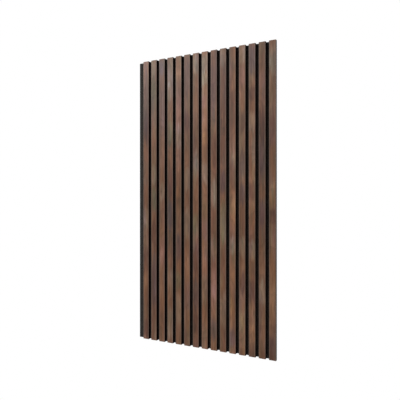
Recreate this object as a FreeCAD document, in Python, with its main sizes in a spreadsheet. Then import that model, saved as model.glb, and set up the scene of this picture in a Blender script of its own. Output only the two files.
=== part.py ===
import FreeCAD, Part
import Sketcher
import os

# Acoustic slat wall panel.
# Fifteen upright slats stand on a board of dark felt. Each slat is a bar of black fibreboard with
# a wood veneer on its front face, and staples driven through the felt from behind hold it.
# The felt is set off to the left by half a slat and one gap, so that the next panel's felt butts
# against it under the last slat and the joint doesn't show.
#
# Frame: X runs across the slats, Z up along them, and the front faces -Y. The origin is the
# middle of the felt's back face, which lies on the wall. All lengths are in millimetres.

doc = FreeCAD.newDocument("AcousticSlatPanel")

# Driving dimensions
sizes = doc.addObject("Spreadsheet::Sheet", "Sizes")
DRIVING_DIMENSIONS = (
    ("slat_count", 15, "slats side by side"),
    ("slat_width", 27.0, "across one slat"),
    ("slat_depth", 12.0, "from the felt to the front of a slat"),
    ("slat_gap", 13.0, "open groove between two slats"),
    ("panel_height", 1200.0, "length of the slats and of the felt"),
    ("felt_thickness", 9.0, "felt board, from the wall to the slats"),
    ("joint_lap", 13.5, "width of the last slat that covers the next panel's felt"),
    ("veneer_thickness", 0.6, "wood veneer on the front of a slat"),
    ("edge_radius", 0.5, "rounding of the veneer's long front edges"),
    ("staple_rows", 5, "staples along one slat"),
    ("staple_end_margin", 60.0, "from the panel's end to the nearest staple"),
    ("crown_length", 10.0, "overall length of a staple's crown"),
    ("wire_width", 1.2, "staple wire, measured across the slat"),
    ("wire_thickness", 1.0, "staple wire, measured through its flat side"),
    ("crown_sink", 0.5, "depth of a staple's crown below the felt's back face"),
    ("tip_cover", 4.0, "core left between a staple's points and the veneer"),
    ("point_bevel", 1.4, "length of the slanted cut on a staple's points"),
)
for row, (alias, value, meaning) in enumerate(DRIVING_DIMENSIONS, start=1):
    sizes.set(f"A{row}", meaning)
    sizes.set(f"B{row}", str(value))
    sizes.setAlias(f"B{row}", alias)
doc.recompute()

# Sizes worked out from the driving dimensions, as expressions on the sheet
PITCH = "(Sizes.slat_width + Sizes.slat_gap)"
HALF_SLAT = "(Sizes.slat_width / 2)"
HALF_HEIGHT = "(Sizes.panel_height / 2)"
HALF_FELT = f"(Sizes.slat_count * {PITCH} / 2)"
FIRST_SLAT = f"(-{HALF_FELT} + Sizes.joint_lap + Sizes.slat_gap + {HALF_SLAT})"
FIRST_COLUMN = f"({FIRST_SLAT} - Sizes.joint_lap / 2)"

CORE_DEPTH = "(Sizes.slat_depth - Sizes.veneer_thickness)"
EDGE_RADIUS = "min(Sizes.edge_radius; 0.9 * Sizes.veneer_thickness)"

LOWEST_ROW = f"(-{HALF_HEIGHT} + Sizes.staple_end_margin)"
ROWS_SPAN = "(Sizes.panel_height - 2 * Sizes.staple_end_margin)"
COLUMNS_SPAN = f"(Sizes.slat_count - 1) * {PITCH}"
HALF_CROWN = "(Sizes.crown_length / 2)"
LEG_INSIDE = f"({HALF_CROWN} - Sizes.wire_thickness)"
HALF_WIRE = "(Sizes.wire_width / 2)"
CROWN_FLOOR = "(Sizes.crown_sink + Sizes.wire_thickness)"
LEG_BITE = f"({CORE_DEPTH} - Sizes.tip_cover)"

UPWARDS = FreeCAD.Vector(0, 0, 1)
TOUCHING = 1e-6


def origin_feature(body, role):
    """The plane or axis of a body's own origin that has this role."""
    return next(feature for feature in body.Origin.OriginFeatures if feature.Role == role)


def new_sketch(body, name, plane):
    """An empty sketch on one of the body's origin planes."""
    sketch = body.newObject("Sketcher::SketchObject", name)
    sketch.AttachmentSupport = [(origin_feature(body, plane), "")]
    sketch.MapMode = "FlatFace"
    return sketch


def draw_outline(sketch, corners):
    """A closed, straight-sided outline. Each corner is a pair of expressions for its place."""
    first = sketch.GeometryCount
    count = len(corners)
    places = []
    for across, along in corners:
        places.append((float(sizes.evalExpression(across)), float(sizes.evalExpression(along))))
    points = [FreeCAD.Vector(across, along, 0) for across, along in places]
    for index in range(count):
        sketch.addGeometry(Part.LineSegment(points[index], points[(index + 1) % count]), False)
    for index in range(count):
        following = first + (index + 1) % count
        sketch.addConstraint(Sketcher.Constraint("Coincident", first + index, 2, following, 1))
    for index in range(count):
        for kind, place, expression in zip(("DistanceX", "DistanceY"), places[index], corners[index]):
            line = first + index
            number = sketch.addConstraint(Sketcher.Constraint(kind, line, 1, place))
            name = f"{kind}{line}"
            sketch.renameConstraint(number, name)
            sketch.setExpression(f"Constraints.{name}", expression)


def rectangle(left, right, low, high):
    """The four corners of an upright rectangle, as expressions."""
    return [(left, low), (right, low), (right, high), (left, high)]


def add_pad(body, sketch, name, length, both_ways=False):
    """Material from a sketch, away from its plane or to both sides of it."""
    pad = body.newObject("PartDesign::Pad", name)
    pad.Profile = sketch
    pad.SideType = "Symmetric" if both_ways else "One side"
    pad.setExpression("Length", length)
    return pad


def add_pocket(body, sketch, name, length=None):
    """A cut from a sketch on the XZ plane towards the front, right through with no length."""
    pocket = body.newObject("PartDesign::Pocket", name)
    pocket.Profile = sketch
    pocket.Reversed = True
    if length is None:
        pocket.Type = "ThroughAll"
    else:
        pocket.setExpression("Length", length)
    return pocket


def round_upright_edges(body, base, name, corners, radius):
    """Rounds the straight upright edges that pass through any of the corners."""
    doc.recompute()
    edges = []
    for corner in corners:
        point = FreeCAD.Vector(*[float(sizes.evalExpression(length)) for length in corner])
        for number, edge in enumerate(base.Shape.Edges, start=1):
            if all((end.Point - point).cross(UPWARDS).Length < TOUCHING for end in edge.Vertexes):
                edges.append(f"Edge{number}")
    fillet = body.newObject("PartDesign::Fillet", name)
    fillet.Base = (base, edges)
    fillet.setExpression("Radius", radius)
    return fillet


def repeat_at_staples(body, originals, name, every_slat):
    """Repeats features in every staple row, of this slat alone or of every slat."""
    pattern = body.newObject("PartDesign::LinearPattern", name)
    pattern.Originals = originals
    pattern.Direction = (origin_feature(body, "Z_Axis"), [""])
    pattern.Mode = "Extent"
    pattern.setExpression("Length", ROWS_SPAN)
    pattern.setExpression("Occurrences", "Sizes.staple_rows")
    if every_slat:
        pattern.Direction2 = (origin_feature(body, "X_Axis"), [""])
        pattern.Mode2 = "Extent"
        pattern.setExpression("Length2", COLUMNS_SPAN)
        pattern.setExpression("Occurrences2", "Sizes.slat_count")
    body.Tip = pattern
    return pattern


def draw_leg_holes(sketch, column):
    """The two holes that the lowest staple's legs make, at this place across the panel."""
    left = f"{column} - {HALF_WIRE}"
    right = f"{column} + {HALF_WIRE}"
    lower = (f"{LOWEST_ROW} - {HALF_CROWN}", f"{LOWEST_ROW} - {LEG_INSIDE}")
    upper = (f"{LOWEST_ROW} + {LEG_INSIDE}", f"{LOWEST_ROW} + {HALF_CROWN}")
    for low, high in (lower, upper):
        draw_outline(sketch, rectangle(left, right, low, high))


def place_on_felt(body, index):
    """Sets a slat's piece on the front of the felt, in its turn from the left."""
    body.setExpression("Placement.Base.x", f"{FIRST_SLAT} + {index} * {PITCH}")
    body.setExpression("Placement.Base.y", "-Sizes.felt_thickness")


def make_felt():
    """The felt board, with a recess for each staple's crown and a hole for each of its legs."""
    body = doc.addObject("PartDesign::Body", "felt_backing")
    outline = new_sketch(body, "FeltOutline", "XZ_Plane")
    draw_outline(outline, rectangle(f"-{HALF_FELT}", HALF_FELT, f"-{HALF_HEIGHT}", HALF_HEIGHT))
    add_pad(body, outline, "FeltBoard", "Sizes.felt_thickness")

    crown = new_sketch(body, "CrownRecessOutline", "XZ_Plane")
    left = f"{FIRST_COLUMN} - {HALF_WIRE}"
    right = f"{FIRST_COLUMN} + {HALF_WIRE}"
    low = f"{LOWEST_ROW} - {HALF_CROWN}"
    high = f"{LOWEST_ROW} + {HALF_CROWN}"
    draw_outline(crown, rectangle(left, right, low, high))
    recess = add_pocket(body, crown, "CrownRecess", CROWN_FLOOR)

    legs = new_sketch(body, "FeltLegHoleOutlines", "XZ_Plane")
    draw_leg_holes(legs, FIRST_COLUMN)
    holes = add_pocket(body, legs, "FeltLegHoles")
    repeat_at_staples(body, [recess, holes], "FeltStaplePlaces", every_slat=True)
    return body


def make_core(index):
    """The fibreboard bar of one slat, with a blind hole for each staple's leg."""
    body = doc.addObject("PartDesign::Body", f"slat_core_{index + 1:02d}")
    outline = new_sketch(body, "CoreOutline", "XY_Plane")
    draw_outline(outline, rectangle(f"-{HALF_SLAT}", HALF_SLAT, f"-{CORE_DEPTH}", "0"))
    add_pad(body, outline, "CoreBar", "Sizes.panel_height", both_ways=True)

    legs = new_sketch(body, "CoreLegHoleOutlines", "XZ_Plane")
    draw_leg_holes(legs, "-Sizes.joint_lap / 2")
    holes = add_pocket(body, legs, "CoreLegHoles", LEG_BITE)
    repeat_at_staples(body, [holes], "CoreStaplePlaces", every_slat=False)
    place_on_felt(body, index)
    return body


def make_veneer(index):
    """The strip of veneer on one slat's front, with its two long edges eased."""
    body = doc.addObject("PartDesign::Body", f"slat_veneer_{index + 1:02d}")
    outline = new_sketch(body, "VeneerOutline", "XY_Plane")
    draw_outline(outline, rectangle(f"-{HALF_SLAT}", HALF_SLAT, "-Sizes.slat_depth", f"-{CORE_DEPTH}"))
    strip = add_pad(body, outline, "VeneerStrip", "Sizes.panel_height", both_ways=True)
    edges = [(side + HALF_SLAT, "-Sizes.slat_depth", "0") for side in ("-", "")]
    round_upright_edges(body, strip, "VeneerEasedEdges", edges, EDGE_RADIUS)
    place_on_felt(body, index)
    return body


def make_staples():
    """All the staples as separate solids: a crown sunk in the felt and two pointed legs."""
    body = doc.addObject("PartDesign::Body", "staples")
    body.AllowCompound = True
    tip = f"-(Sizes.felt_thickness + {LEG_BITE})"
    bevel = f"{tip} + Sizes.point_bevel"
    outline = new_sketch(body, "StapleOutline", "YZ_Plane")
    draw_outline(outline, [
        ("-Sizes.crown_sink", f"-{HALF_CROWN}"),
        (tip, f"-{HALF_CROWN}"),
        (bevel, f"-{LEG_INSIDE}"),
        (f"-{CROWN_FLOOR}", f"-{LEG_INSIDE}"),
        (f"-{CROWN_FLOOR}", LEG_INSIDE),
        (bevel, LEG_INSIDE),
        (tip, HALF_CROWN),
        ("-Sizes.crown_sink", HALF_CROWN),
    ])
    wire = add_pad(body, outline, "StapleWire", "Sizes.wire_width", both_ways=True)
    repeat_at_staples(body, [wire], "StapleRows", every_slat=True)
    body.setExpression("Placement.Base.x", FIRST_COLUMN)
    body.setExpression("Placement.Base.z", LOWEST_ROW)
    return body


slat_count = int(sizes.slat_count)
pieces = [make_felt()]
pieces += [make_core(index) for index in range(slat_count)]
pieces += [make_veneer(index) for index in range(slat_count)]
pieces.append(make_staples())
doc.recompute()

# Nothing is written unless every object and every piece came out sound
for item in doc.Objects:
    if "Invalid" in item.State or "Error" in item.State:
        raise RuntimeError(f"{item.Label} didn't compute: {item.State}")
for piece in pieces:
    if piece.Shape.isNull() or not piece.Shape.isValid():
        raise RuntimeError(f"{piece.Label} has no sound shape")

os.makedirs("parts", exist_ok=True)
for piece in pieces:
    piece.Shape.exportStep(os.path.join("parts", f"{piece.Label}.step"))
    print(f"{piece.Label}: {len(piece.Shape.Solids)} solid(s), {piece.Shape.Volume / 1000:.2f} cm3")
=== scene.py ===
import math

import bmesh
import bpy
from bpy.props import FloatProperty, FloatVectorProperty, PointerProperty
from mathutils import Matrix, Vector
from mathutils.noise import noise as smooth_noise


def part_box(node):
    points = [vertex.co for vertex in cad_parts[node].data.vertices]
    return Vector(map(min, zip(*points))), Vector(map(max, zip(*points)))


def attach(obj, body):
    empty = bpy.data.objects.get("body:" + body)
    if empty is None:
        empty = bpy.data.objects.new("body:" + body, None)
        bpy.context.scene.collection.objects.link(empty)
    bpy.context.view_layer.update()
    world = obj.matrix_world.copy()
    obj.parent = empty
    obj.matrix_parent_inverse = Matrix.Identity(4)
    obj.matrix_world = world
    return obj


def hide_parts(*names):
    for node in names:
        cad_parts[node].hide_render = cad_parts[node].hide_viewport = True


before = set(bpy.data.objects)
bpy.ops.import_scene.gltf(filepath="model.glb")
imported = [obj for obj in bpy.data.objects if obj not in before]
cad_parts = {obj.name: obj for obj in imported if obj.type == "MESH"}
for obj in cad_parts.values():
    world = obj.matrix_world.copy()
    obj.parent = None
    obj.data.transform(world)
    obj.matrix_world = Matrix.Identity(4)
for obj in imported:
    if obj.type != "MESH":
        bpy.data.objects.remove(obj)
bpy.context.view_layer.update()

# The finish of an acoustic slat wall panel: walnut veneer on black fibreboard slats, a board of
# dark polyester felt behind them, and steel staples in its back. All lengths are in metres.

bl_info = {
    "name": "Acoustic Slat Panel Finish",
    "version": (1, 0, 0),
    "blender": (4, 5, 0),
    "location": "View3D > Sidebar > Slat Panel",
    "description": "Gives a slat wall panel its veneer, fibreboard, felt and staples, and a studio",
    "category": "Object",
}

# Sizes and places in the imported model
FELT_LOW, FELT_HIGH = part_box("felt_backing")
BOTTOM = FELT_LOW.z
TOP = FELT_HIGH.z
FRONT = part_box("slat_veneer_01")[0].y
SLAT_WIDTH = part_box("slat_veneer_01")[1].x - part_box("slat_veneer_01")[0].x
SLAT_NUMBERS = range(1, 1 + sum(name.startswith("slat_core_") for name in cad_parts))
SLAT_SIDES = [[corner.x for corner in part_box(f"slat_core_{number:02d}")] for number in SLAT_NUMBERS]
GROOVES = [(slat[1], following[0]) for slat, following in zip(SLAT_SIDES, SLAT_SIDES[1:])]

# The middles of the staples' crowns. The end rows stand a margin in from the felt's ends, and a
# column stands a quarter of a slat's width to the left of each slat's middle, because the felt ends
# under the middle of the last slat
STAPLE_ROW_COUNT = 5
STAPLE_MARGIN = 0.06
STAPLE_SPAN = TOP - BOTTOM - 2 * STAPLE_MARGIN
STAPLE_COLUMNS = [(left + right) / 2 - SLAT_WIDTH / 4 for left, right in SLAT_SIDES]
STAPLE_ROWS = [
    BOTTOM + STAPLE_MARGIN + STAPLE_SPAN * row / (STAPLE_ROW_COUNT - 1) for row in range(STAPLE_ROW_COUNT)]

# Where the plain felt board is cut, to have points for its swell and its dimples: parts of a
# groove, distances from a staple's middle across and along its crown, and the spacing elsewhere
GROOVE_PARTS = 6
CUTS_BESIDE_STAPLE = (0.0007, 0.0018, 0.0032, 0.0055)
CUTS_ALONG_STAPLE = (0.0, 0.004, 0.0056, 0.0068, 0.0084, 0.0105)
CUT_SPACING = 0.02

# Half the line along which a crown presses in the felt, how far its dimple reaches across and
# along, and how near to an edge of the board the outline wanders
PRESSED_HALF = 0.004
DIMPLE_REACH = (0.012, 0.02)
EDGE_BAND = 0.001

# The felt's swell: its usual share of the full height and how far that strays, the power that
# flattens its top, and how fast it strays across and up the felt, in noise units to a metre
SWELL_SHARE = 0.75
SWELL_STRAY = 0.5
SWELL_POWER = 0.7
SWELL_PITCH = (40, 25)

# How fast the outline wanders along an edge and through the board, and where in the noise
OUTLINE_PITCH = (90, 300)
WOBBLE_LAYER = 4.7

# The sides of a staple's wire, and the steps in one of its bends
WIRE_SIDES = 10
BEND_STEPS = 4

# How light a slat's veneer can be, against the walnut figure as it is made
SHADES = {"dark": 0.86, "dusky": 0.95, "middling": 1.03, "pale": 1.11, "light": 1.25}

# The shade of each slat's veneer, from left to right
SLAT_SHADES = (
    "middling", "dusky", "middling", "dark", "middling", "dusky", "middling", "light", "pale",
    "middling", "light", "middling", "pale", "dark", "dark")

# Patches of another tint that stand out on the veneer, by the slat's number. Each has its tint, the
# height of its middle as a share of the slat from the top, its half length in metres, and how far
# it lies to one side of the slat, from -1 for the left edge to 1 for the right
PATCHES = {
    1: (
        ("plum", 0.16, 0.16, 0), ("russet", 0.24, 0.08, 0), ("beige", 0.56, 0.05, 0),
        ("russet", 0.72, 0.06, 0), ("russet", 0.96, 0.04, 0)),
    2: (
        ("olive", 0.12, 0.08, 0), ("beige", 0.03, 0.04, 0), ("beige", 0.41, 0.04, 0),
        ("olive", 0.50, 0.05, 0), ("russet", 0.62, 0.06, 0), ("plum", 0.78, 0.13, 0)),
    3: (
        ("mauve", 0.03, 0.04, 0), ("plum", 0.18, 0.14, 0), ("beige", 0.47, 0.04, 0),
        ("rose", 0.68, 0.07, 0.1)),
    4: (
        ("ash", 0.05, 0.07, 0.3), ("beige", 0.12, 0.04, 0), ("olive", 0.26, 0.06, 0),
        ("russet", 0.44, 0.08, 0), ("mauve", 0.55, 0.07, 0), ("beige", 0.93, 0.07, 0)),
    5: (
        ("russet", 0.13, 0.06, 0), ("rose", 0.21, 0.07, 0.1), ("beige", 0.28, 0.05, 0),
        ("amber", 0.47, 0.03, 0), ("plum", 0.66, 0.06, 0), ("olive", 0.78, 0.04, 0),
        ("beige", 0.88, 0.07, 0)),
    6: (
        ("plum", 0.08, 0.11, 0), ("russet", 0.23, 0.05, 0.1), ("beige", 0.43, 0.05, 0),
        ("beige", 0.58, 0.07, 0), ("amber", 0.73, 0.08, 0.2), ("amber", 0.91, 0.05, 0)),
    7: (
        ("beige", 0.04, 0.04, 0), ("beige", 0.38, 0.06, 0.1), ("olive", 0.58, 0.05, 0),
        ("russet", 0.70, 0.07, 0), ("plum", 0.82, 0.07, 0), ("russet", 0.92, 0.05, 0)),
    8: (
        ("ash", 0.04, 0.04, 0), ("beige", 0.09, 0.03, 0), ("rose", 0.17, 0.035, 0.4),
        ("amber", 0.29, 0.03, 0.5), ("beige", 0.41, 0.05, 0), ("rose", 0.60, 0.05, 0),
        ("beige", 0.80, 0.07, 0)),
    9: (
        ("plum", 0.14, 0.15, 0), ("russet", 0.33, 0.08, 0), ("beige", 0.48, 0.06, 0),
        ("beige", 0.66, 0.05, 0), ("rose", 0.76, 0.09, 0.2), ("plum", 0.93, 0.05, 0)),
    10: (
        ("beige", 0.03, 0.04, 0), ("russet", 0.16, 0.12, 0), ("russet", 0.31, 0.09, -0.2),
        ("plum", 0.44, 0.05, 0), ("olive", 0.57, 0.09, 0), ("beige", 0.86, 0.08, 0.1)),
    11: (
        ("russet", 0.20, 0.09, 0), ("russet", 0.42, 0.06, 0), ("amber", 0.54, 0.05, 0),
        ("beige", 0.65, 0.04, 0), ("amber", 0.78, 0.10, 0), ("plum", 0.95, 0.04, 0)),
    12: (
        ("beige", 0.03, 0.04, 0), ("rose", 0.10, 0.04, 0), ("russet", 0.25, 0.05, 0),
        ("russet", 0.38, 0.06, 0.1), ("plum", 0.48, 0.05, 0), ("beige", 0.65, 0.04, 0),
        ("russet", 0.77, 0.04, 0), ("amber", 0.93, 0.09, 0)),
    13: (
        ("plum", 0.05, 0.06, 0), ("russet", 0.16, 0.03, 0), ("beige", 0.25, 0.04, 0),
        ("russet", 0.47, 0.04, 0), ("beige", 0.66, 0.04, 0), ("russet", 0.79, 0.05, 0),
        ("amber", 0.93, 0.05, 0)),
    14: (
        ("rose", 0.12, 0.04, 0), ("russet", 0.26, 0.07, 0), ("plum", 0.36, 0.08, 0),
        ("plum", 0.54, 0.06, 0), ("beige", 0.79, 0.05, 0)),
    15: (
        ("beige", 0.06, 0.06, 0), ("russet", 0.28, 0.08, 0), ("amber", 0.48, 0.05, 0),
        ("russet", 0.55, 0.03, 0), ("russet", 0.97, 0.05, 0), ("amber", 0.74, 0.14, 0)),
}

# A small knot on some slats, by the slat's number: its height as a share from the top, and its
# place across the slat from -1 to 1
KNOTS = {3: (0.47, -0.2), 6: (0.86, 0.3), 9: (0.31, 0.2), 11: (0.49, -0.4), 12: (0.77, -0.4), 13: (0.79, 0.3)}

# The noise patterns in the materials: how fine each is along X, Y and Z, in features to a metre,
# where in the noise it starts, its detail and its roughness
PATTERNS = {
    "sway": ((9, 1, 3.1), (0, 0, 0), 1.0, 0.5),
    "fields": ((6, 1, 3), (0, 0, 0), 2.0, 0.5),
    "flames": ((24, 1, 5), (3, 5, 1), 2.0, 0.5),
    "bands": ((90, 1, 1.8), (6, 2, 9), 2.0, 0.5),
    "lines": ((420, 1, 4), (1, 8, 3), 2.0, 0.5),
    "flecks": ((150, 1, 20), (5, 3, 4), 2.0, 0.5),
    "rose": ((24, 1, 5), (7, 13, 2), 2.0, 0.5),
    "amber": ((24, 1, 5), (2, 17, 8), 2.0, 0.5),
    "mauve": ((24, 1, 5), (9, 4, 5), 2.0, 0.5),
    "olive": ((50, 1, 8), (4, 6, 3), 2.0, 0.5),
    "grain": ((1300, 1, 34), (1, 9, 7), 2.0, 0.6),
    "pores": ((4200, 1, 150), (4, 21, 3), 1.0, 0.5),
    "ring_wander": ((14, 1, 5), (2, 2, 7), 2.0, 0.5),
    "patch_fingers": ((110, 1, 4), (5, 3, 4), 2.0, 0.6),
    "patch_streaks": ((650, 1, 9), (3, 8, 1), 3.0, 0.65),
    "knot_outline": ((420, 1, 130), (0, 0, 0), 2.0, 0.5),
    "edge_outline": ((60, 1, 30), (8, 2, 6), 3.0, 0.6),
    "fibre_clumps": ((160, 420, 90), (0, 0, 0), 2.0, 0.5),
    "felt_clouds": ((38, 38, 38), (0, 0, 0), 3.0, 0.6),
    "felt_tufts": ((260, 260, 260), (0, 0, 0), 2.0, 0.5),
    "spangle": ((2600, 2600, 900), (0, 0, 0), 2.0, 0.5),
}

# The patterns that make the veneer light and dark, and the share that each has
TONE_SHARES = {"fields": 0.31, "flames": 0.28, "bands": 0.17, "lines": 0.1, "flecks": 0.14}

# The tints that run through all the veneer, and the most that is mixed in of each
TINT_SHARES = {"rose": 0.5, "amber": 0.35, "mauve": 0.4, "olive": 0.6}

# The values of a noise pattern that become 0 and 1 in the tone, the tints, the grain, the pores and
# the fibreboard's clumps of fibres
TONE_RANGE = (0.33, 0.67)
TINT_RANGE = (0.48, 0.68)
GRAIN_RANGE = (0.3, 0.7)
PORE_RANGE = (0.6, 0.7)
CLUMP_RANGE = (0.3, 0.7)

# The tones over which the veneer goes from dark to umber, and from umber to light
DARK_TO_UMBER = (0.0, 0.55)
UMBER_TO_LIGHT = (0.45, 1.0)

# How bright the veneer is in the darkest and the lightest grain, how much a growth ring and a pore
# darken it, and how much of the painted highlight's paler colour its edges take
GRAIN_SHADES = (0.83, 1.17)
RING_SHARE = 0.16
PORE_SHARE = 0.6
PAINTED_HIGHLIGHT_SHARE = 0.5

# The width of the figure's sideways sway
SWAY_WIDTH = 0.01

# How far one slat's figure is from the next one's, in the noise and along the tree
SHEETS_APART = 7.3
STRETCHES_APART = 1.9

# The most that the tree's heart lies to one side of a slat, and how far that swings to and fro from
# one slat to the next, in radians
HEART_REACH = 0.03
HEART_SWING = 2.4

# How deep the tree's heart lies behind the veneer, how much deeper with each metre of height, and
# by how much the rings wander
HEART_DEPTH = 0.04
HEART_TAPER = 0.022
RING_WANDER = 0.03

# Where in a growth ring, from 0 to 1, the latewood darkens, and where it ends
LATEWOOD = (0.25, 0.9)
LATEWOOD_END = (0.93, 1.0)

# How far a patch's edge strays in fingers and in streaks, in shares of its own reach
FINGER_SHARE = 1.1
STREAK_SHARE = 1.6

# Where a patch fades out, in shares of its reach, and a knot's eye and its halo, in its radii
PATCH_FADE = (0.6, 1.15)
EYE_FADE = (0.3, 1.0)
HALO_FADE = (0.8, 3.2)

# A knot's length against its width, how uneven it is, and how dark its eye and its halo are
KNOT_STRETCH = 3.2
KNOT_UNEVENNESS = 0.9
EYE_SHARE = 0.85
HALO_SHARE = 0.35

# How far from a slat's edge the paler line of painted highlight keeps its strength, and the most
# that it reaches
PAINTED_HIGHLIGHT_START = 0.001
PAINTED_HIGHLIGHT_REACH = 0.009

# How narrow and how wide the painted shade on the eased edges can be, in shares of its width, and
# where it fades out, measured from its inner edge
PAINTED_SHADE_WIDTHS = (0.6, 1.4)
PAINTED_SHADE_FADE = (-0.0001, 0.0002)

# The layers of strands in felt and fibreboard. Each has the way that it runs in degrees, how far it
# is tipped in radians, and where in the noise it starts
STRANDS = (
    (8, 0.0, (0.0, 0.03, 0.0)),
    (52, 0.04, (0.1, 0.03, 0.2)),
    (97, 0.08, (0.2, 0.03, 0.4)),
    (141, 0.12, (0.3, 0.03, 0.6)),
)

# The values of the strands' noise that become 0 and 1 in the fibres, and in the pits between them
FIBRE_RANGE = (0.56, 0.74)
PIT_RANGE = (0.56, 0.47)

# In the felt, where the share of lighter fibres starts, how much its clouds and tufts add to that,
# how much of the pits' colour is mixed in, and how far the tufts stand up beside the strands
FIBRE_START = -0.35
CLOUD_SHARE = 0.9
TUFT_SHARE = 0.8
PIT_SHARE = 0.55
TUFT_RELIEF = 0.6


def screen_colour(red, green, blue):
    """A colour as a screen shows it, each part from 0 to 255, as Blender's linear colour."""
    parts = []
    for part in (red, green, blue):
        share = part / 255
        parts.append(share / 12.92 if share <= 0.04045 else ((share + 0.055) / 1.055) ** 2.4)
    return tuple(parts)


def colour_property(name, description, default):
    return FloatVectorProperty(
        name=name, description=description, default=default, size=3, min=0, max=1, subtype="COLOR")


def length_property(name, description, default):
    return FloatProperty(name=name, description=description, default=default, unit="LENGTH", precision=5)


def share_property(name, description, default):
    return FloatProperty(name=name, description=description, default=default, min=0, max=1)


def range_property(name, description, default):
    return FloatVectorProperty(name=name, description=description, default=default, size=2, min=0, max=1)


def angle_property(name, description, degrees):
    return FloatProperty(name=name, description=description, default=math.radians(degrees), unit="ROTATION")


def power_property(name, description, default):
    return FloatProperty(name=name, description=description, default=default, unit="POWER")


class SlatPanelVeneer(bpy.types.PropertyGroup):
    """The walnut veneer's colours and grain"""
    umber: colour_property("Umber", "Main colour of the veneer", screen_colour(112, 75, 52))
    dark: colour_property("Dark", "Darkest figure", screen_colour(81, 52, 34))
    light: colour_property("Light", "Lightest figure", screen_colour(140, 103, 79))
    mauve: colour_property("Mauve", "Grey-violet patches", screen_colour(96, 72, 64))
    plum: colour_property("Plum", "Dark violet patches", screen_colour(90, 63, 53))
    rose: colour_property("Rose", "Pink-brown patches", screen_colour(121, 82, 66))
    amber: colour_property("Amber", "Orange-brown patches", screen_colour(124, 84, 55))
    olive: colour_property("Olive", "Green-brown patches", screen_colour(100, 78, 54))
    russet: colour_property("Russet", "Dark red-brown patches", screen_colour(90, 57, 41))
    beige: colour_property("Beige", "Pale patches", screen_colour(128, 99, 77))
    ash: colour_property("Ash", "Pale grey patches", screen_colour(119, 95, 78))
    # Painted highlight: the paler line along the slats' long edges
    painted_highlight: colour_property("Painted Highlight", "Paler rubbed line along the edges", screen_colour(126, 106, 93))
    # Painted shade: the dark band on the eased long edges, and its width
    painted_shade: colour_property("Painted Shade", "Dark stain on the eased edges", screen_colour(26, 20, 17))
    painted_shade_width: length_property("Stain Width", "Width of the dark stain", 0.0007)
    ring_spacing: length_property("Ring Spacing", "From one growth ring to the next", 0.0034)
    patch_half_width: length_property("Patch Half Width", "Half the width of a patch", 0.02)
    patch_strength: share_property("Patch Strength", "How far a patch takes its tint", 0.95)
    knot_radius: length_property("Knot Radius", "Half the width of a knot", 0.0026)
    relief: length_property("Relief", "Depth of the open grain", 0.0002)
    relief_strength: share_property("Relief Strength", "How strongly the grain shows in relief", 0.5)
    roughness: range_property("Roughness", "Roughness in the grain's lows and highs", (0.43, 0.57))
    shine: share_property("Shine", "Specular level of the oiled surface", 0.26)


class SlatPanelCore(bpy.types.PropertyGroup):
    """The slats' black fibreboard"""
    colour: colour_property("Colour", "Dyed fibreboard", screen_colour(20, 5, 2))
    fibre: colour_property("Fibre", "Lighter fibres in it", screen_colour(42, 26, 19))
    fibre_width: length_property("Fibre Width", "Width of a strand of fibres", 0.0003)
    fibre_length: length_property("Fibre Length", "Length of a strand of fibres", 0.0022)
    fibre_share: share_property("Fibre Share", "The most that is mixed in of the lighter fibres", 0.7)
    relief: length_property("Relief", "Depth of the strands in relief", 0.0002)
    relief_strength: share_property("Relief Strength", "How strongly the strands show in relief", 0.6)
    roughness: range_property("Roughness", "Roughness where fibres are sparse and clumped", (0.72, 0.92))
    shine: share_property("Shine", "Specular level of the fibreboard", 0.01)


class SlatPanelFelt(bpy.types.PropertyGroup):
    """The felt board"""
    colour: colour_property("Colour", "Main colour of the felt", screen_colour(41, 39, 37))
    fibre: colour_property("Fibre", "Lighter fibres in it", screen_colour(96, 92, 89))
    pit: colour_property("Pit", "Dark pits between the fibres", screen_colour(20, 20, 21))
    fibre_width: length_property("Fibre Width", "Width of a strand of fibres", 0.00035)
    fibre_length: length_property("Fibre Length", "Length of a strand of fibres", 0.0056)
    relief: length_property("Relief", "Depth of the strands and pits in relief", 0.0005)
    relief_strength: share_property("Relief Strength", "How strongly the strands show in relief", 0.7)
    roughness: range_property("Roughness", "Roughness of the main felt and the lighter fibres", (0.98, 0.83))
    shine: share_property("Shine", "Specular level of the felt", 0.03)
    edge_radius: length_property("Edge Radius", "Softness of the board's edges", 0.0008)
    edge_wander: length_property("Edge Wander", "Mean distance by which the edges stray inwards", 0.00015)
    swell: length_property("Swell", "How far the felt stands up between two slats", 0.0006)
    dimple: length_property("Dimple", "How far a staple pulls the felt's back in", 0.0012)
    dimple_radius: length_property("Dimple Radius", "Radius of the dimple round a staple", 0.0034)


class SlatPanelStaple(bpy.types.PropertyGroup):
    """The staples' wire"""
    colour: colour_property("Colour", "Galvanised wire", screen_colour(170, 172, 175))
    dulled: share_property("Dulled", "Brightness left in the dull spangles", 0.6)
    roughness: range_property("Roughness", "Roughness of the bright and the dull spangles", (0.24, 0.44))
    crown_length: length_property("Crown Length", "Length of a staple's back", 0.01)
    wire_width: length_property("Wire Width", "Width of the flattened wire", 0.0012)
    wire_thickness: length_property("Wire Thickness", "Thickness of the flattened wire", 0.001)
    bend_radius: length_property("Bend Radius", "Radius of the wire's middle at a bend", 0.0009)
    point_length: length_property("Point Length", "Length of a leg's flattened point", 0.0014)
    point_share: share_property("Point Share", "Share of the wire's thickness left at the point", 0.15)


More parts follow.
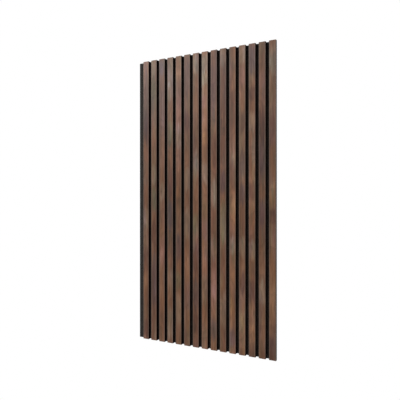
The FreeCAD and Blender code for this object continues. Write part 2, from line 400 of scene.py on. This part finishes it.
class SlatPanelStage(bpy.types.PropertyGroup):
    """The camera and the studio"""
    camera_side: length_property("Camera Side", "Camera to the right of the felt's middle", 0.7256)
    camera_distance: length_property("Camera Distance", "Camera in front of the slats", 1.5105)
    camera_height: length_property("Camera Height", "Camera above the panel's middle", 0.0009)
    camera_turn: angle_property("Camera Turn", "Camera turned to the left", 25.68)
    lens: FloatProperty(name="Lens", description="Focal length in millimetres", default=37.18, unit="CAMERA")
    floor_drop: length_property("Floor Drop", "Floor below the panel's lower end", 0.9)
    floor_reach: length_property("Floor Reach", "Half the width of the floor", 8)
    floor_colour: colour_property("Floor Colour", "The pale floor", (0.86, 0.86, 0.86))
    floor_roughness: share_property("Floor Roughness", "Roughness of the floor", 0.9)
    fade_start: length_property("Fade Start", "Radius at which the floor begins to fade", 0.6)
    fade_end: length_property("Fade End", "Radius beyond which the floor is white", 1.3)
    key_turn: angle_property("Key Light Turn", "Key light to the left of the front", 45)
    key_height: angle_property("Key Light Height", "Angle of the key light above level", 36)
    key_distance: length_property("Key Light Distance", "Key light from the panel", 3.8)
    key_size: length_property("Key Light Size", "Side of the soft box", 1.8)
    key_power: power_property("Key Light Power", "Power of the soft box", 154)
    back_place: FloatVectorProperty(
        name="Back Light Place", description="Where the light behind stands", default=(1.5, 1.9, 1.3),
        size=3, subtype="TRANSLATION", unit="LENGTH")
    back_size: length_property("Back Light Size", "Side of the light behind", 1.6)
    back_power: power_property("Back Light Power", "Power of the light behind", 60)
    surround: FloatProperty(name="Surround", description="Light from all round", default=0.2, min=0)


def add_node(tree, kind, **values):
    """A shader node, with each named input linked from a socket or set."""
    made = tree.nodes.new(kind)
    for name, value in values.items():
        fill_socket(tree, made.inputs[name.replace("_", " ")], value)
    return made


def fill_socket(tree, socket, value):
    """Links a socket from another, or sets its value. A colour of three parts is made opaque."""
    if isinstance(value, bpy.types.NodeSocket):
        tree.links.new(value, socket)
    elif socket.type == "RGBA" and len(value) == 3:
        socket.default_value = (*value, 1)
    else:
        socket.default_value = value


def maths(tree, operation, *values):
    """The result of one sum on sockets or numbers."""
    made = tree.nodes.new("ShaderNodeMath")
    made.operation = operation
    for socket, value in zip(made.inputs, values):
        fill_socket(tree, socket, value)
    return made.outputs[0]


def vector_maths(tree, operation, *values):
    """The node of one sum on vectors, with its inputs filled in order."""
    made = tree.nodes.new("ShaderNodeVectorMath")
    made.operation = operation
    for socket, value in zip(made.inputs, values):
        fill_socket(tree, socket, value)
    return made


def slant(tree, across, along):
    """How far a point is from the middle, from its distances across and along."""
    squares = [maths(tree, "POWER", side, 2) for side in (across, along)]
    return maths(tree, "SQRT", maths(tree, "ADD", *squares))


def strayed(tree, value, wander, amount):
    """A value moved up or down by up to half the amount, as a pattern from 0 to 1 says."""
    return maths(tree, "MULTIPLY_ADD", maths(tree, "SUBTRACT", wander, 0.5), amount, value)


def between(tree, share, low, high):
    """A value from low to high, as a share from 0 to 1 says."""
    return maths(tree, "MULTIPLY_ADD", share, high - low, low)


def mixed(tree, share, first, second, blend="MIX"):
    """Two colours mixed by a share."""
    made = tree.nodes.new("ShaderNodeMix")
    made.data_type = "RGBA"
    made.blend_type = blend
    fill_socket(tree, made.inputs[0], share)
    fill_socket(tree, made.inputs[6], first)
    fill_socket(tree, made.inputs[7], second)
    return made.outputs[2]


def mixed_shaders(tree, share, first, second):
    """Two shaders mixed by a share."""
    made = tree.nodes.new("ShaderNodeMixShader")
    for socket, value in zip(made.inputs, (share, first, second)):
        fill_socket(tree, socket, value)
    return made.outputs[0]


def smooth_step(tree, value, low, high):
    """0 below low, 1 above high, and smooth between them."""
    made = tree.nodes.new("ShaderNodeMapRange")
    made.interpolation_type = "SMOOTHSTEP"
    for number, given in enumerate((value, low, high, 0.0, 1.0)):
        fill_socket(tree, made.inputs[number], given)
    return made.outputs[0]


def smooth_fall(tree, value, low, high):
    """1 below low, 0 above high, and smooth between them."""
    return maths(tree, "SUBTRACT", 1.0, smooth_step(tree, value, low, high))


def stretched(tree, vector, scale, shift=(0, 0, 0)):
    """A vector scaled along each axis and then moved."""
    made = add_node(tree, "ShaderNodeMapping", Vector=vector, Scale=scale, Location=shift)
    return made.outputs[0]


def noise(tree, vector, detail, roughness, distortion=0.0):
    """Noise from 0 to 1 with features about 1 across."""
    made = add_node(
        tree, "ShaderNodeTexNoise", Vector=vector, Scale=1.0, Detail=detail, Roughness=roughness,
        Distortion=distortion)
    return made.outputs[0]


def pattern(tree, vector, name):
    """One of the noise patterns listed above, at a place in metres."""
    scale, start, detail, roughness = PATTERNS[name]
    return noise(tree, stretched(tree, vector, scale, start), detail, roughness)


def new_group(name, inputs, outputs):
    """A shader node group, with its inputs and its outputs, whose names are listed by their kind."""
    tree = bpy.data.node_groups.new(name, "ShaderNodeTree")
    for way, sockets in (("INPUT", inputs), ("OUTPUT", outputs)):
        for kind, labels in sockets.items():
            for label in labels:
                tree.interface.new_socket(label, in_out=way, socket_type=f"NodeSocket{kind}")
    return tree, tree.nodes.new("NodeGroupInput").outputs, tree.nodes.new("NodeGroupOutput").inputs


def use_group(tree, group, **values):
    """A group placed in a material, with its inputs linked or set, and its outputs given back."""
    made = tree.nodes.new("ShaderNodeGroup")
    made.node_tree = group
    for name, value in values.items():
        fill_socket(tree, made.inputs[name.replace("_", " ")], value)
    return made.outputs


def new_material(name):
    """A material with a Principled shader, and its tree, shader and object coordinates."""
    made = bpy.data.materials.new(name)
    made.use_nodes = True
    tree = made.node_tree
    shader = next(node for node in tree.nodes if node.type == "BSDF_PRINCIPLED")
    place = tree.nodes.new("ShaderNodeTexCoord").outputs["Object"]
    return made, tree, shader, place


def set_surface(tree, shader, look, colour, wander, height):
    """A surface's colour, its roughness as a pattern says, its fine relief and its shine."""
    bump = add_node(
        tree, "ShaderNodeBump", Height=height, Distance=look.relief, Strength=look.relief_strength)
    fill_socket(tree, shader.inputs["Base Color"], colour)
    fill_socket(tree, shader.inputs["Roughness"], between(tree, wander, *look.roughness))
    fill_socket(tree, shader.inputs["Normal"], bump.outputs[0])
    shader.inputs["Specular IOR Level"].default_value = look.shine


def dress(node_name, material):
    """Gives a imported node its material."""
    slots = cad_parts[node_name].material_slots
    for slot in slots:
        slot.material = material
    if not slots:
        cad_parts[node_name].data.materials.append(material)


def finished_piece(shape, name):
    """A smooth-shaded object in the scene, made from a bmesh that is then freed."""
    for face in shape.faces:
        face.smooth = True
    mesh = bpy.data.meshes.new(name)
    shape.to_mesh(mesh)
    shape.free()
    piece = bpy.data.objects.new(name, mesh)
    bpy.context.scene.collection.objects.link(piece)
    return piece


def walnut_group(look):
    """Walnut's figure on a flat sheet: X across the grain, Z along it, and Y picks the sheet."""
    tree, given, made = new_group(
        "Walnut Figure", {"Vector": ["Sheet"], "Float": ["Heart"]},
        {"Float": ["Tone", "Rose", "Amber", "Mauve", "Olive", "Rings", "Grain", "Pores"]})
    sway = strayed(tree, 0.0, pattern(tree, given["Sheet"], "sway"), SWAY_WIDTH)
    sideways = add_node(tree, "ShaderNodeCombineXYZ", X=sway).outputs[0]
    bent = vector_maths(tree, "ADD", given["Sheet"], sideways).outputs[0]
    tone = 0.0
    for name, share in TONE_SHARES.items():
        tone = maths(tree, "MULTIPLY_ADD", pattern(tree, bent, name), share, tone)
    fill_socket(tree, made["Tone"], smooth_step(tree, tone, *TONE_RANGE))
    for name in TINT_SHARES:
        fill_socket(tree, made[name.title()], smooth_step(tree, pattern(tree, bent, name), *TINT_RANGE))
    fill_socket(tree, made["Rings"], growth_rings(tree, bent, given["Heart"], look.ring_spacing))
    fill_socket(tree, made["Grain"], pattern(tree, bent, "grain"))
    fill_socket(tree, made["Pores"], smooth_step(tree, pattern(tree, bent, "pores"), *PORE_RANGE))
    return tree


def growth_rings(tree, sheet, heart, spacing):
    """Dark latewood lines where the sheet cuts the tree's rings, with the heart to one side."""
    parts = add_node(tree, "ShaderNodeSeparateXYZ", Vector=sheet)
    across = maths(tree, "ADD", parts.outputs["X"], heart)
    depth = maths(tree, "MULTIPLY_ADD", parts.outputs["Z"], HEART_TAPER, HEART_DEPTH)
    depth = strayed(tree, depth, pattern(tree, sheet, "ring_wander"), RING_WANDER)
    ring = maths(tree, "FRACT", maths(tree, "DIVIDE", slant(tree, across, depth), spacing))
    late = smooth_step(tree, ring, *LATEWOOD)
    ended = smooth_step(tree, ring, *LATEWOOD_END)
    return maths(tree, "SUBTRACT", late, ended)


def patch_group():
    """A soft patch of another tint, drawn out along the grain with a ragged edge."""
    numbers = ["Height", "Half Length", "Side", "Half Width", "Strength"]
    tree, given, made = new_group(
        "Tint Patch", {"Color": ["Colour", "Tint"], "Vector": ["Sheet"], "Float": numbers},
        {"Color": ["Colour"]})
    across, along = from_middle(tree, given)
    along = maths(tree, "DIVIDE", maths(tree, "ABSOLUTE", along), given["Half Length"])
    across = maths(tree, "DIVIDE", maths(tree, "ABSOLUTE", across), given["Half Width"])
    reach = slant(tree, along, across)
    reach = strayed(tree, reach, pattern(tree, given["Sheet"], "patch_fingers"), FINGER_SHARE)
    reach = strayed(tree, reach, pattern(tree, given["Sheet"], "patch_streaks"), STREAK_SHARE)
    share = maths(tree, "MULTIPLY", smooth_fall(tree, reach, *PATCH_FADE), given["Strength"])
    fill_socket(tree, made["Colour"], mixed(tree, share, given["Colour"], given["Tint"], "MULTIPLY"))
    return tree


def knot_group():
    """A small dark knot with the grain closing round it."""
    tree, given, made = new_group(
        "Knot", {"Color": ["Colour", "Tint"], "Vector": ["Sheet"], "Float": ["Height", "Side", "Radius"]},
        {"Color": ["Colour"]})
    across, along = from_middle(tree, given)
    across = maths(tree, "DIVIDE", across, given["Radius"])
    along = maths(tree, "DIVIDE", along, maths(tree, "MULTIPLY", given["Radius"], KNOT_STRETCH))
    reach = slant(tree, across, along)
    reach = strayed(tree, reach, pattern(tree, given["Sheet"], "knot_outline"), KNOT_UNEVENNESS)
    eye = maths(tree, "MULTIPLY", smooth_fall(tree, reach, *EYE_FADE), EYE_SHARE)
    halo = maths(tree, "MULTIPLY", smooth_fall(tree, reach, *HALO_FADE), HALO_SHARE)
    share = maths(tree, "MAXIMUM", eye, halo)
    fill_socket(tree, made["Colour"], mixed(tree, share, given["Colour"], given["Tint"]))
    return tree


def from_middle(tree, given):
    """How far a point of the sheet is across and along from the middle of a patch or knot."""
    parts = add_node(tree, "ShaderNodeSeparateXYZ", Vector=given["Sheet"])
    middle = maths(tree, "MULTIPLY", given["Side"], SLAT_WIDTH / 2)
    across = maths(tree, "SUBTRACT", parts.outputs["X"], middle)
    along = maths(tree, "SUBTRACT", parts.outputs["Z"], given["Height"])
    return across, along


def edge_group():
    """A slat's long edges: painted shade on the eased arris, and a paler painted highlight inside it."""
    tree, given, made = new_group(
        "Long Edge", {"Vector": ["Sheet"], "Float": ["Stain Width"]}, {"Float": ["Painted Shade", "Painted Highlight"]})
    parts = add_node(tree, "ShaderNodeSeparateXYZ", Vector=given["Sheet"])
    from_edge = maths(tree, "SUBTRACT", SLAT_WIDTH / 2, maths(tree, "ABSOLUTE", parts.outputs["X"]))
    uneven = pattern(tree, given["Sheet"], "edge_outline")
    # Painted shade: a dark band of uneven width on the eased arris of each long edge
    painted_shade_spread = maths(tree, "MULTIPLY", given["Stain Width"], between(tree, uneven, *PAINTED_SHADE_WIDTHS))
    painted_shade = smooth_fall(tree, maths(tree, "SUBTRACT", from_edge, painted_shade_spread), *PAINTED_SHADE_FADE)
    # Painted highlight: a paler line just inside each long edge
    painted_highlight = smooth_fall(tree, from_edge, PAINTED_HIGHLIGHT_START, maths(tree, "MULTIPLY", uneven, PAINTED_HIGHLIGHT_REACH))
    fill_socket(tree, made["Painted Shade"], painted_shade)
    fill_socket(tree, made["Painted Highlight"], maths(tree, "MULTIPLY", painted_highlight, maths(tree, "SUBTRACT", 1.0, painted_shade)))
    return tree


def against_umber(look, tint):
    """A tint as a share of the umber that it stains."""
    return [part / usual for part, usual in zip(getattr(look, tint), look.umber)]


def veneer_material(number, groups, look):
    """The veneer of one slat: its own stretch of figure, with that slat's patches and knots."""
    low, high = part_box(f"slat_veneer_{number:02d}")
    middle = (low.x + high.x) / 2
    made, tree, shader, place = new_material(f"walnut_veneer_{number:02d}")
    local = stretched(tree, place, (1, 1, 1), (-middle, SHEETS_APART * number, 0))
    sheet = stretched(tree, place, (1, 1, 1), (-middle, SHEETS_APART * number, STRETCHES_APART * number))
    heart = HEART_REACH * math.sin(HEART_SWING * number)
    figure = use_group(tree, groups["walnut"], Sheet=sheet, Heart=heart)
    colour = mixed(tree, smooth_step(tree, figure["Tone"], *DARK_TO_UMBER), look.dark[:], look.umber[:])
    colour = mixed(tree, smooth_step(tree, figure["Tone"], *UMBER_TO_LIGHT), colour, look.light[:])
    for tint, most in TINT_SHARES.items():
        share = maths(tree, "MULTIPLY", figure[tint.title()], most)
        colour = mixed(tree, share, colour, against_umber(look, tint), "MULTIPLY")
    colour = marked(tree, colour, local, number, groups, look)
    shade = between(tree, smooth_step(tree, figure["Grain"], *GRAIN_RANGE), *GRAIN_SHADES)
    shade = maths(tree, "SUBTRACT", shade, maths(tree, "MULTIPLY", figure["Rings"], RING_SHARE))
    shade = maths(tree, "MULTIPLY", shade, SHADES[SLAT_SHADES[number - 1]])
    shaded = vector_maths(tree, "SCALE", colour)
    fill_socket(tree, shaded.inputs["Scale"], shade)
    pores = maths(tree, "MULTIPLY", figure["Pores"], PORE_SHARE)
    colour = mixed(tree, pores, shaded.outputs[0], look.dark[:])
    edge = use_group(tree, groups["edge"], Sheet=local, Stain_Width=look.painted_shade_width)
    # The painted highlight: a paler line along the long edges
    colour = mixed(tree, maths(tree, "MULTIPLY", edge["Painted Highlight"], PAINTED_HIGHLIGHT_SHARE), colour, look.painted_highlight[:])
    # The painted shade darkens the eased arris
    colour = mixed(tree, edge["Painted Shade"], colour, look.painted_shade[:])
    raised = maths(tree, "SUBTRACT", figure["Grain"], figure["Pores"])
    set_surface(tree, shader, look, colour, figure["Grain"], raised)
    return made


def marked(tree, colour, local, number, groups, look):
    """A slat's colour with its patches and its knot."""
    for tint, height, half_length, side in PATCHES[number]:
        colour = use_group(
            tree, groups["patch"], Colour=colour, Sheet=local, Tint=against_umber(look, tint),
            Height=TOP + height * (BOTTOM - TOP), Half_Length=half_length, Side=side,
            Half_Width=look.patch_half_width, Strength=look.patch_strength)["Colour"]
    if number in KNOTS:
        height, side = KNOTS[number]
        colour = use_group(
            tree, groups["knot"], Colour=colour, Sheet=local, Tint=look.dark[:],
            Height=TOP + height * (BOTTOM - TOP), Side=side, Radius=look.knot_radius)["Colour"]
    return colour


class SLATPANEL_OT_veneers(bpy.types.Operator):
    """Finish the veneer of each slat in walnut"""
    bl_idname = "slatpanel.veneers"
    bl_label = "Walnut Veneers"

    def execute(self, context):
        look = context.scene.slat_panel_veneer
        groups = {
            "walnut": walnut_group(look), "patch": patch_group(), "knot": knot_group(), "edge": edge_group()}
        for number in SLAT_NUMBERS:
            dress(f"slat_veneer_{number:02d}", veneer_material(number, groups, look))
        return {"FINISHED"}


class SLATPANEL_OT_cores(bpy.types.Operator):
    """Finish the slats' fibreboard"""
    bl_idname = "slatpanel.cores"
    bl_label = "Fibreboard Cores"

    def execute(self, context):
        look = context.scene.slat_panel_core
        made, tree, shader, place = new_material("black_fibreboard")
        matted = use_group(
            tree, matted_fibres_group(), Place=place, Width=look.fibre_width, Length=look.fibre_length)
        clumps = pattern(tree, place, "fibre_clumps")
        share = maths(tree, "MULTIPLY", matted["Fibres"], smooth_step(tree, clumps, *CLUMP_RANGE))
        share = maths(tree, "MULTIPLY", share, look.fibre_share)
        colour = mixed(tree, share, look.colour[:], look.fibre[:])
        set_surface(tree, shader, look, colour, clumps, matted["Fibres"])
        for number in SLAT_NUMBERS:
            dress(f"slat_core_{number:02d}", made)
        return {"FINISHED"}


def matted_fibres_group():
    """Short strands that cross one another in every direction, and the dark pits between them."""
    known = bpy.data.node_groups.get("Matted Fibres")
    if known:
        return known
    tree, given, made = new_group(
        "Matted Fibres", {"Vector": ["Place"], "Float": ["Width", "Length"]}, {"Float": ["Fibres", "Pits"]})
    width, length = given["Width"], given["Length"]
    cell = add_node(tree, "ShaderNodeCombineXYZ", X=width, Y=width, Z=length).outputs[0]
    strands = None
    for turn, tip, start in STRANDS:
        turned = add_node(
            tree, "ShaderNodeMapping", Vector=given["Place"], Scale=cell, Location=start,
            Rotation=(tip, math.radians(turn), 0))
        turned.vector_type = "TEXTURE"
        strand = noise(tree, turned.outputs[0], detail=1.0, roughness=0.5, distortion=0.8)
        strands = maths(tree, "MAXIMUM", strands, strand) if strands else strand
    fill_socket(tree, made["Fibres"], smooth_step(tree, strands, *FIBRE_RANGE))
    fill_socket(tree, made["Pits"], smooth_step(tree, strands, *PIT_RANGE))
    return tree


def staple_places():
    """Where the middle of each staple's crown is on the felt's back, across and up."""
    return [(x, z) for x in STAPLE_COLUMNS for z in STAPLE_ROWS]


def felt_board(look):
    """The felt as a soft board, swollen between the slats and pulled in round the staples."""
    shape = bmesh.new()
    bmesh.ops.create_cube(shape, size=1)
    bmesh.ops.scale(shape, vec=FELT_HIGH - FELT_LOW, verts=shape.verts)
    bmesh.ops.translate(shape, vec=(FELT_LOW + FELT_HIGH) / 2, verts=shape.verts)
    bmesh.ops.bevel(
        shape, geom=shape.edges[:], offset=look.edge_radius, segments=2, profile=0.5, affect="EDGES",
        material=-1)
    margin = 2 * look.edge_radius
    cut_across(shape, (1, 0, 0), felt_columns(), FELT_LOW.x + margin, FELT_HIGH.x - margin)
    cut_across(shape, (0, 0, 1), felt_rows(), BOTTOM + margin, TOP - margin)
    for vertex in shape.verts:
        vertex.co = felt_surface(vertex.co, look)
    return finished_piece(shape, "felt_board")


def felt_columns():
    """Where the board is cut from top to bottom, in the grooves and beside the staples."""
    columns = set()
    for left, right in GROOVES:
        columns.update(left + (right - left) * part / GROOVE_PARTS for part in range(GROOVE_PARTS + 1))
    for x in STAPLE_COLUMNS:
        columns.update(x + away * side for away in CUTS_BESIDE_STAPLE for side in (-1, 1))
    return columns


def felt_rows():
    """Where the board is cut from side to side, along the staples and evenly between them."""
    rows = set()
    for z in STAPLE_ROWS:
        rows.update(z + away * side for away in CUTS_ALONG_STAPLE for side in (-1, 1))
    height = TOP - BOTTOM
    spaces = round(height / CUT_SPACING)
    rows.update(BOTTOM + height * row / spaces for row in range(1, spaces))
    return rows


def cut_across(shape, direction, places, lowest, highest):
    """Cuts the shape square to a direction at each place between two limits."""
    for place in sorted(places):
        if lowest < place < highest:
            everything = shape.verts[:] + shape.edges[:] + shape.faces[:]
            point = [place * part for part in direction]
            bmesh.ops.bisect_plane(shape, geom=everything, dist=1e-6, plane_co=point, plane_no=direction)


def felt_surface(spot, look):
    """Where a point of the plain board goes on the soft one."""
    on_face = 1e-5
    moved = spot.copy()
    if spot.y < FELT_LOW.y + on_face:
        moved.y -= swell_at(spot, look)
    if spot.y > FELT_HIGH.y - on_face:
        moved.y -= dimple_at(spot, look)
    along, through = OUTLINE_PITCH
    inward = look.edge_wander * (1 + wobble(spot.z * along + spot.y * through, spot.x * along))
    moved.x += inward * near_end(spot.x, FELT_LOW.x, FELT_HIGH.x)
    moved.z += inward * near_end(spot.z, BOTTOM, TOP)
    return moved


def swell_at(spot, look):
    """How far the front of the felt stands out at a point."""
    for left, right in GROOVES:
        if left < spot.x < right:
            share = (spot.x - left) / (right - left)
            wander = SWELL_SHARE + SWELL_STRAY * wobble(spot.x * SWELL_PITCH[0], spot.z * SWELL_PITCH[1])
            return look.swell * math.sin(math.pi * share) ** SWELL_POWER * wander
    return 0


def dimple_at(spot, look):
    """How far the staples pull in the back of the felt at a point."""
    dimple = 0
    for x, z in staple_places():
        if abs(spot.x - x) < DIMPLE_REACH[0] and abs(spot.z - z) < DIMPLE_REACH[1]:
            past_end = max(abs(spot.z - z) - PRESSED_HALF, 0)
            away = math.hypot(spot.x - x, past_end)
            dimple += look.dimple * math.exp(-(away / look.dimple_radius) ** 2)
    return dimple


def near_end(place, low, high):
    """1 close to the low end, -1 close to the high end, and 0 between them."""
    if place - low < EDGE_BAND:
        return 1
    return -1 if high - place < EDGE_BAND else 0


def wobble(first, second):
    """A smooth repeatable number from -1 to 1."""
    return smooth_noise(Vector((first, second, WOBBLE_LAYER)))


class SLATPANEL_OT_felt(bpy.types.Operator):
    """Model and finish the felt board"""
    bl_idname = "slatpanel.felt"
    bl_label = "Felt Board"

    def execute(self, context):
        look = context.scene.slat_panel_felt
        made, tree, shader, place = new_material("polyester_felt")
        matted = use_group(
            tree, matted_fibres_group(), Place=place, Width=look.fibre_width, Length=look.fibre_length)
        clouds = pattern(tree, place, "felt_clouds")
        tufts = pattern(tree, place, "felt_tufts")
        share = maths(tree, "MULTIPLY_ADD", tufts, TUFT_SHARE, FIBRE_START)
        share = maths(tree, "MULTIPLY_ADD", clouds, CLOUD_SHARE, share)
        share = maths(tree, "MULTIPLY", matted["Fibres"], share)
        colour = mixed(tree, share, look.colour[:], look.fibre[:])
        colour = mixed(tree, maths(tree, "MULTIPLY", matted["Pits"], PIT_SHARE), colour, look.pit[:])
        raised = maths(tree, "MULTIPLY_ADD", tufts, TUFT_RELIEF, matted["Fibres"])
        raised = maths(tree, "SUBTRACT", raised, matted["Pits"])
        set_surface(tree, shader, look, colour, share, raised)
        board = felt_board(look)
        board.data.materials.append(made)
        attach(board, "root")
        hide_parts("felt_backing")
        return {"FINISHED"}


def staple_wires(look):
    """All the staples, bent from flattened wire, as one piece."""
    low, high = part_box("staples")
    bend, point = look.bend_radius, look.point_length
    half = (look.crown_length - look.wire_thickness) / 2
    level = high.y - look.wire_thickness / 2
    leg = level - bend - low.y - point
    first_tip = Vector((0, low.y, -half))
    last_tip = Vector((0, low.y, half))
    shape = bmesh.new()
    tip = bmesh.ops.create_circle(shape, cap_ends=False, segments=WIRE_SIDES, radius=0.5)["verts"]
    bmesh.ops.scale(shape, vec=(look.wire_width, look.wire_thickness, 1), verts=tip)
    bmesh.ops.rotate(shape, matrix=Matrix.Rotation(math.pi / 2, 3, "X"), verts=tip)
    bmesh.ops.translate(shape, vec=first_tip, verts=tip)
    ring = drawn_out(shape, tip, (0, point, 0))
    ring = drawn_out(shape, ring, (0, leg, 0))
    ring = bent_round(shape, ring, (0, level - bend, bend - half))
    ring = drawn_out(shape, ring, (0, 0, 2 * (half - bend)))
    ring = bent_round(shape, ring, (0, level - bend, half - bend))
    ring = drawn_out(shape, ring, (0, -leg, 0))
    ring = drawn_out(shape, ring, (0, -point, 0))
    for end, centre in ((tip, first_tip), (ring, last_tip)):
        bmesh.ops.scale(shape, vec=(1, 1, look.point_share), space=Matrix.Translation(-centre), verts=end)
        bmesh.ops.contextual_create(shape, geom=ring_edges(end))
    bmesh.ops.recalc_face_normals(shape, faces=shape.faces)
    one = shape.verts[:] + shape.edges[:] + shape.faces[:]
    for x, z in staple_places():
        copied = bmesh.ops.duplicate(shape, geom=one)["geom"]
        bmesh.ops.translate(shape, vec=(x, 0, z), verts=points_of(copied))
    bmesh.ops.delete(shape, geom=points_of(one), context="VERTS")
    return finished_piece(shape, "staple_wires")


def drawn_out(shape, ring, way):
    """Extends a tube from its last ring of points, and gives back the new last ring."""
    new = bmesh.ops.extrude_edge_only(shape, edges=ring_edges(ring))["geom"]
    bmesh.ops.translate(shape, vec=way, verts=points_of(new))
    return points_of(new)


def bent_round(shape, ring, centre):
    """Turns a tube by a right angle round a centre, and gives back the new last ring."""
    new = bmesh.ops.spin(
        shape, geom=ring + ring_edges(ring), cent=centre, axis=(1, 0, 0), angle=math.pi / 2,
        steps=BEND_STEPS)
    return points_of(new["geom_last"])


def points_of(geometry):
    """The points among some points, edges and faces."""
    return [part for part in geometry if isinstance(part, bmesh.types.BMVert)]


def ring_edges(ring):
    """The edges that join the points of a ring to one another, each once and in order."""
    members = set(ring)
    found = [edge for vertex in ring for edge in vertex.link_edges if edge.other_vert(vertex) in members]
    return list(dict.fromkeys(found))


class SLATPANEL_OT_staples(bpy.types.Operator):
    """Model and finish the staples in galvanised steel"""
    bl_idname = "slatpanel.staples"
    bl_label = "Staples"

    def execute(self, context):
        look = context.scene.slat_panel_staple
        made, tree, shader, place = new_material("galvanised_wire")
        spangle = pattern(tree, place, "spangle")
        dull_colour = [part * look.dulled for part in look.colour]
        fill_socket(tree, shader.inputs["Base Color"], mixed(tree, spangle, look.colour[:], dull_colour))
        fill_socket(tree, shader.inputs["Roughness"], between(tree, spangle, *look.roughness))
        shader.inputs["Metallic"].default_value = 1.0
        wires = staple_wires(look)
        wires.data.materials.append(made)
        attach(wires, "root")
        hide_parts("staples")
        return {"FINISHED"}


class SLATPANEL_OT_stage(bpy.types.Operator):
    """Set up the floor, the lights, the surroundings and the camera"""
    bl_idname = "slatpanel.stage"
    bl_label = "Studio"

    def execute(self, context):
        look = context.scene.slat_panel_stage
        add_floor(look)
        add_surround(context.scene, look)
        turn, height, away = look.key_turn, look.key_height, look.key_distance
        level = away * math.cos(height)
        key = Vector((-level * math.sin(turn), -level * math.cos(turn), away * math.sin(height)))
        add_soft_box("key_light", key, look.key_size, look.key_power)
        add_soft_box("back_light", Vector(look.back_place), look.back_size, look.back_power)
        add_camera(context.scene, look)
        context.scene.view_settings.view_transform = "Standard"
        return {"FINISHED"}


def shown_not_lit(tree):
    """1 for rays from the camera, reflections and glass, and 0 for those that light a surface."""
    ray = tree.nodes.new("ShaderNodeLightPath").outputs
    seen = maths(tree, "MAXIMUM", ray["Is Camera Ray"], ray["Is Glossy Ray"])
    return maths(tree, "MAXIMUM", seen, ray["Is Transmission Ray"])


def add_floor(look):
    """A pale floor that holds the panel's shadow and fades to white further out."""
    shape = bmesh.new()
    bmesh.ops.create_grid(shape, x_segments=1, y_segments=1, size=look.floor_reach)
    bmesh.ops.translate(shape, vec=(0, 0, BOTTOM - look.floor_drop), verts=shape.verts)
    floor = finished_piece(shape, "floor")
    made, tree, shader, place = new_material("pale_floor")
    fill_socket(tree, shader.inputs["Base Color"], look.floor_colour[:])
    shader.inputs["Roughness"].default_value = look.floor_roughness
    white = add_node(tree, "ShaderNodeEmission", Color=(1, 1, 1), Strength=1.0)
    radius = vector_maths(tree, "LENGTH", stretched(tree, place, (1, 1, 0))).outputs["Value"]
    faded = smooth_step(tree, radius, look.fade_start, look.fade_end)
    share = maths(tree, "MULTIPLY", faded, shown_not_lit(tree))
    blend = mixed_shaders(tree, share, shader.outputs[0], white.outputs[0])
    output = next(node for node in tree.nodes if node.type == "OUTPUT_MATERIAL")
    fill_socket(tree, output.inputs["Surface"], blend)
    floor.data.materials.append(made)


def add_surround(scene, look):
    """White where it is seen, and a low even light from all round."""
    world = bpy.data.worlds.new("white_surround")
    scene.world = world
    world.use_nodes = True
    tree = world.node_tree
    tree.nodes.clear()
    light = add_node(tree, "ShaderNodeBackground", Color=(1, 1, 1), Strength=look.surround)
    white = add_node(tree, "ShaderNodeBackground", Color=(1, 1, 1), Strength=1.0)
    output = tree.nodes.new("ShaderNodeOutputWorld")
    blend = mixed_shaders(tree, shown_not_lit(tree), light.outputs[0], white.outputs[0])
    fill_socket(tree, output.inputs["Surface"], blend)


def add_soft_box(name, place, size, power):
    """A square area light that faces the middle of the panel."""
    light = bpy.data.lights.new(name, "AREA")
    light.shape = "SQUARE"
    light.size = size
    light.energy = power
    box = bpy.data.objects.new(name, light)
    box.location = place
    box.rotation_euler = (-place).to_track_quat("-Z", "Y").to_euler()
    bpy.context.scene.collection.objects.link(box)


def add_camera(scene, look):
    """The photograph's view: level, from the right of the panel and turned towards its middle."""
    camera = bpy.data.cameras.new("camera")
    camera.lens = look.lens
    holder = bpy.data.objects.new("camera", camera)
    holder.location = (look.camera_side, FRONT - look.camera_distance, look.camera_height)
    holder.rotation_euler = (math.pi / 2, 0, look.camera_turn)
    scene.collection.objects.link(holder)
    scene.camera = holder


class SLATPANEL_PT_sidebar(bpy.types.Panel):
    """The panel's steps and settings"""
    bl_idname = "SLATPANEL_PT_sidebar"
    bl_label = "Slat Panel"
    bl_space_type = "VIEW_3D"
    bl_region_type = "UI"
    bl_category = "Slat Panel"

    def draw(self, context):
        for operator, name, group in STEPS:
            box = self.layout.box()
            box.operator(operator.bl_idname)
            settings = getattr(context.scene, name)
            for setting in group.__annotations__:
                box.prop(settings, setting)


STEPS = (
    (SLATPANEL_OT_veneers, "slat_panel_veneer", SlatPanelVeneer),
    (SLATPANEL_OT_cores, "slat_panel_core", SlatPanelCore),
    (SLATPANEL_OT_felt, "slat_panel_felt", SlatPanelFelt),
    (SLATPANEL_OT_staples, "slat_panel_staple", SlatPanelStaple),
    (SLATPANEL_OT_stage, "slat_panel_stage", SlatPanelStage),
)


def register():
    for operator, name, group in STEPS:
        bpy.utils.register_class(group)
        bpy.utils.register_class(operator)
        setattr(bpy.types.Scene, name, PointerProperty(type=group))
    bpy.utils.register_class(SLATPANEL_PT_sidebar)


def unregister():
    bpy.utils.unregister_class(SLATPANEL_PT_sidebar)
    for operator, name, group in reversed(STEPS):
        delattr(bpy.types.Scene, name)
        bpy.utils.unregister_class(operator)
        bpy.utils.unregister_class(group)


def main():
    register()
    bpy.ops.slatpanel.veneers()
    bpy.ops.slatpanel.cores()
    bpy.ops.slatpanel.felt()
    bpy.ops.slatpanel.staples()
    bpy.ops.slatpanel.stage()


if __name__ == "__main__":
    main()
